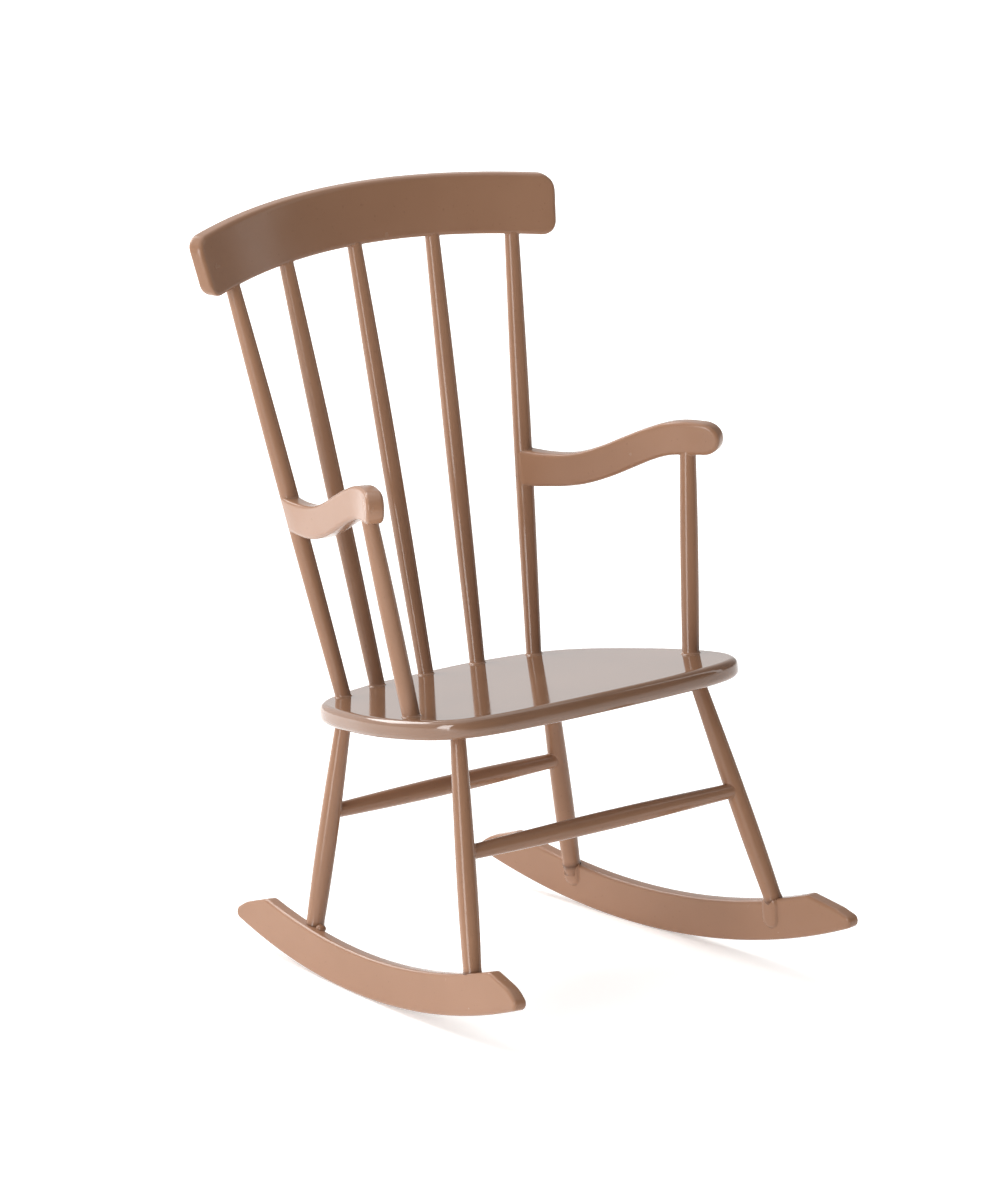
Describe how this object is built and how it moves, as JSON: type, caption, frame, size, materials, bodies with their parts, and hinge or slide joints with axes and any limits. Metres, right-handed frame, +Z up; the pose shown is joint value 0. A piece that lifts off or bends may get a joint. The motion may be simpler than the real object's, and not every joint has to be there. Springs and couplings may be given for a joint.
{
  "type": "miniature rocking chair",
  "caption": "Dolls' house rocking chair of painted metal: curved top rail on a fan of turned rods, oval plate seat, S-shaped arms, splayed legs and arched rockers.",
  "frame": {"origin": "on the floor, at mid-width and mid-depth of the chair as it rests", "axes": "+Z up; -Y the way a sitter faces; +X to the sitter's left"},
  "size_m": [0.0738, 0.0887, 0.1196],
  "materials": {
    "lacquer": "glossy brown-pink lacquer"
  },
  "bodies": {
    "root": {"seat": "lacquer", "crest_rail": "lacquer", "back_post_right": "lacquer", "back_post_left": "lacquer", "back_spindle_right": "lacquer", "back_spindle_centre": "lacquer", "back_spindle_left": "lacquer", "arm_right": "lacquer", "arm_left": "lacquer", "arm_post_right": "lacquer", "arm_post_left": "lacquer", "leg_front_right": "lacquer", "leg_front_left": "lacquer", "leg_rear_right": "lacquer", "leg_rear_left": "lacquer", "stretcher_front": "lacquer", "stretcher_rear": "lacquer", "rocker_right": "lacquer", "rocker_left": "lacquer"}
  },
  "joints": []
}
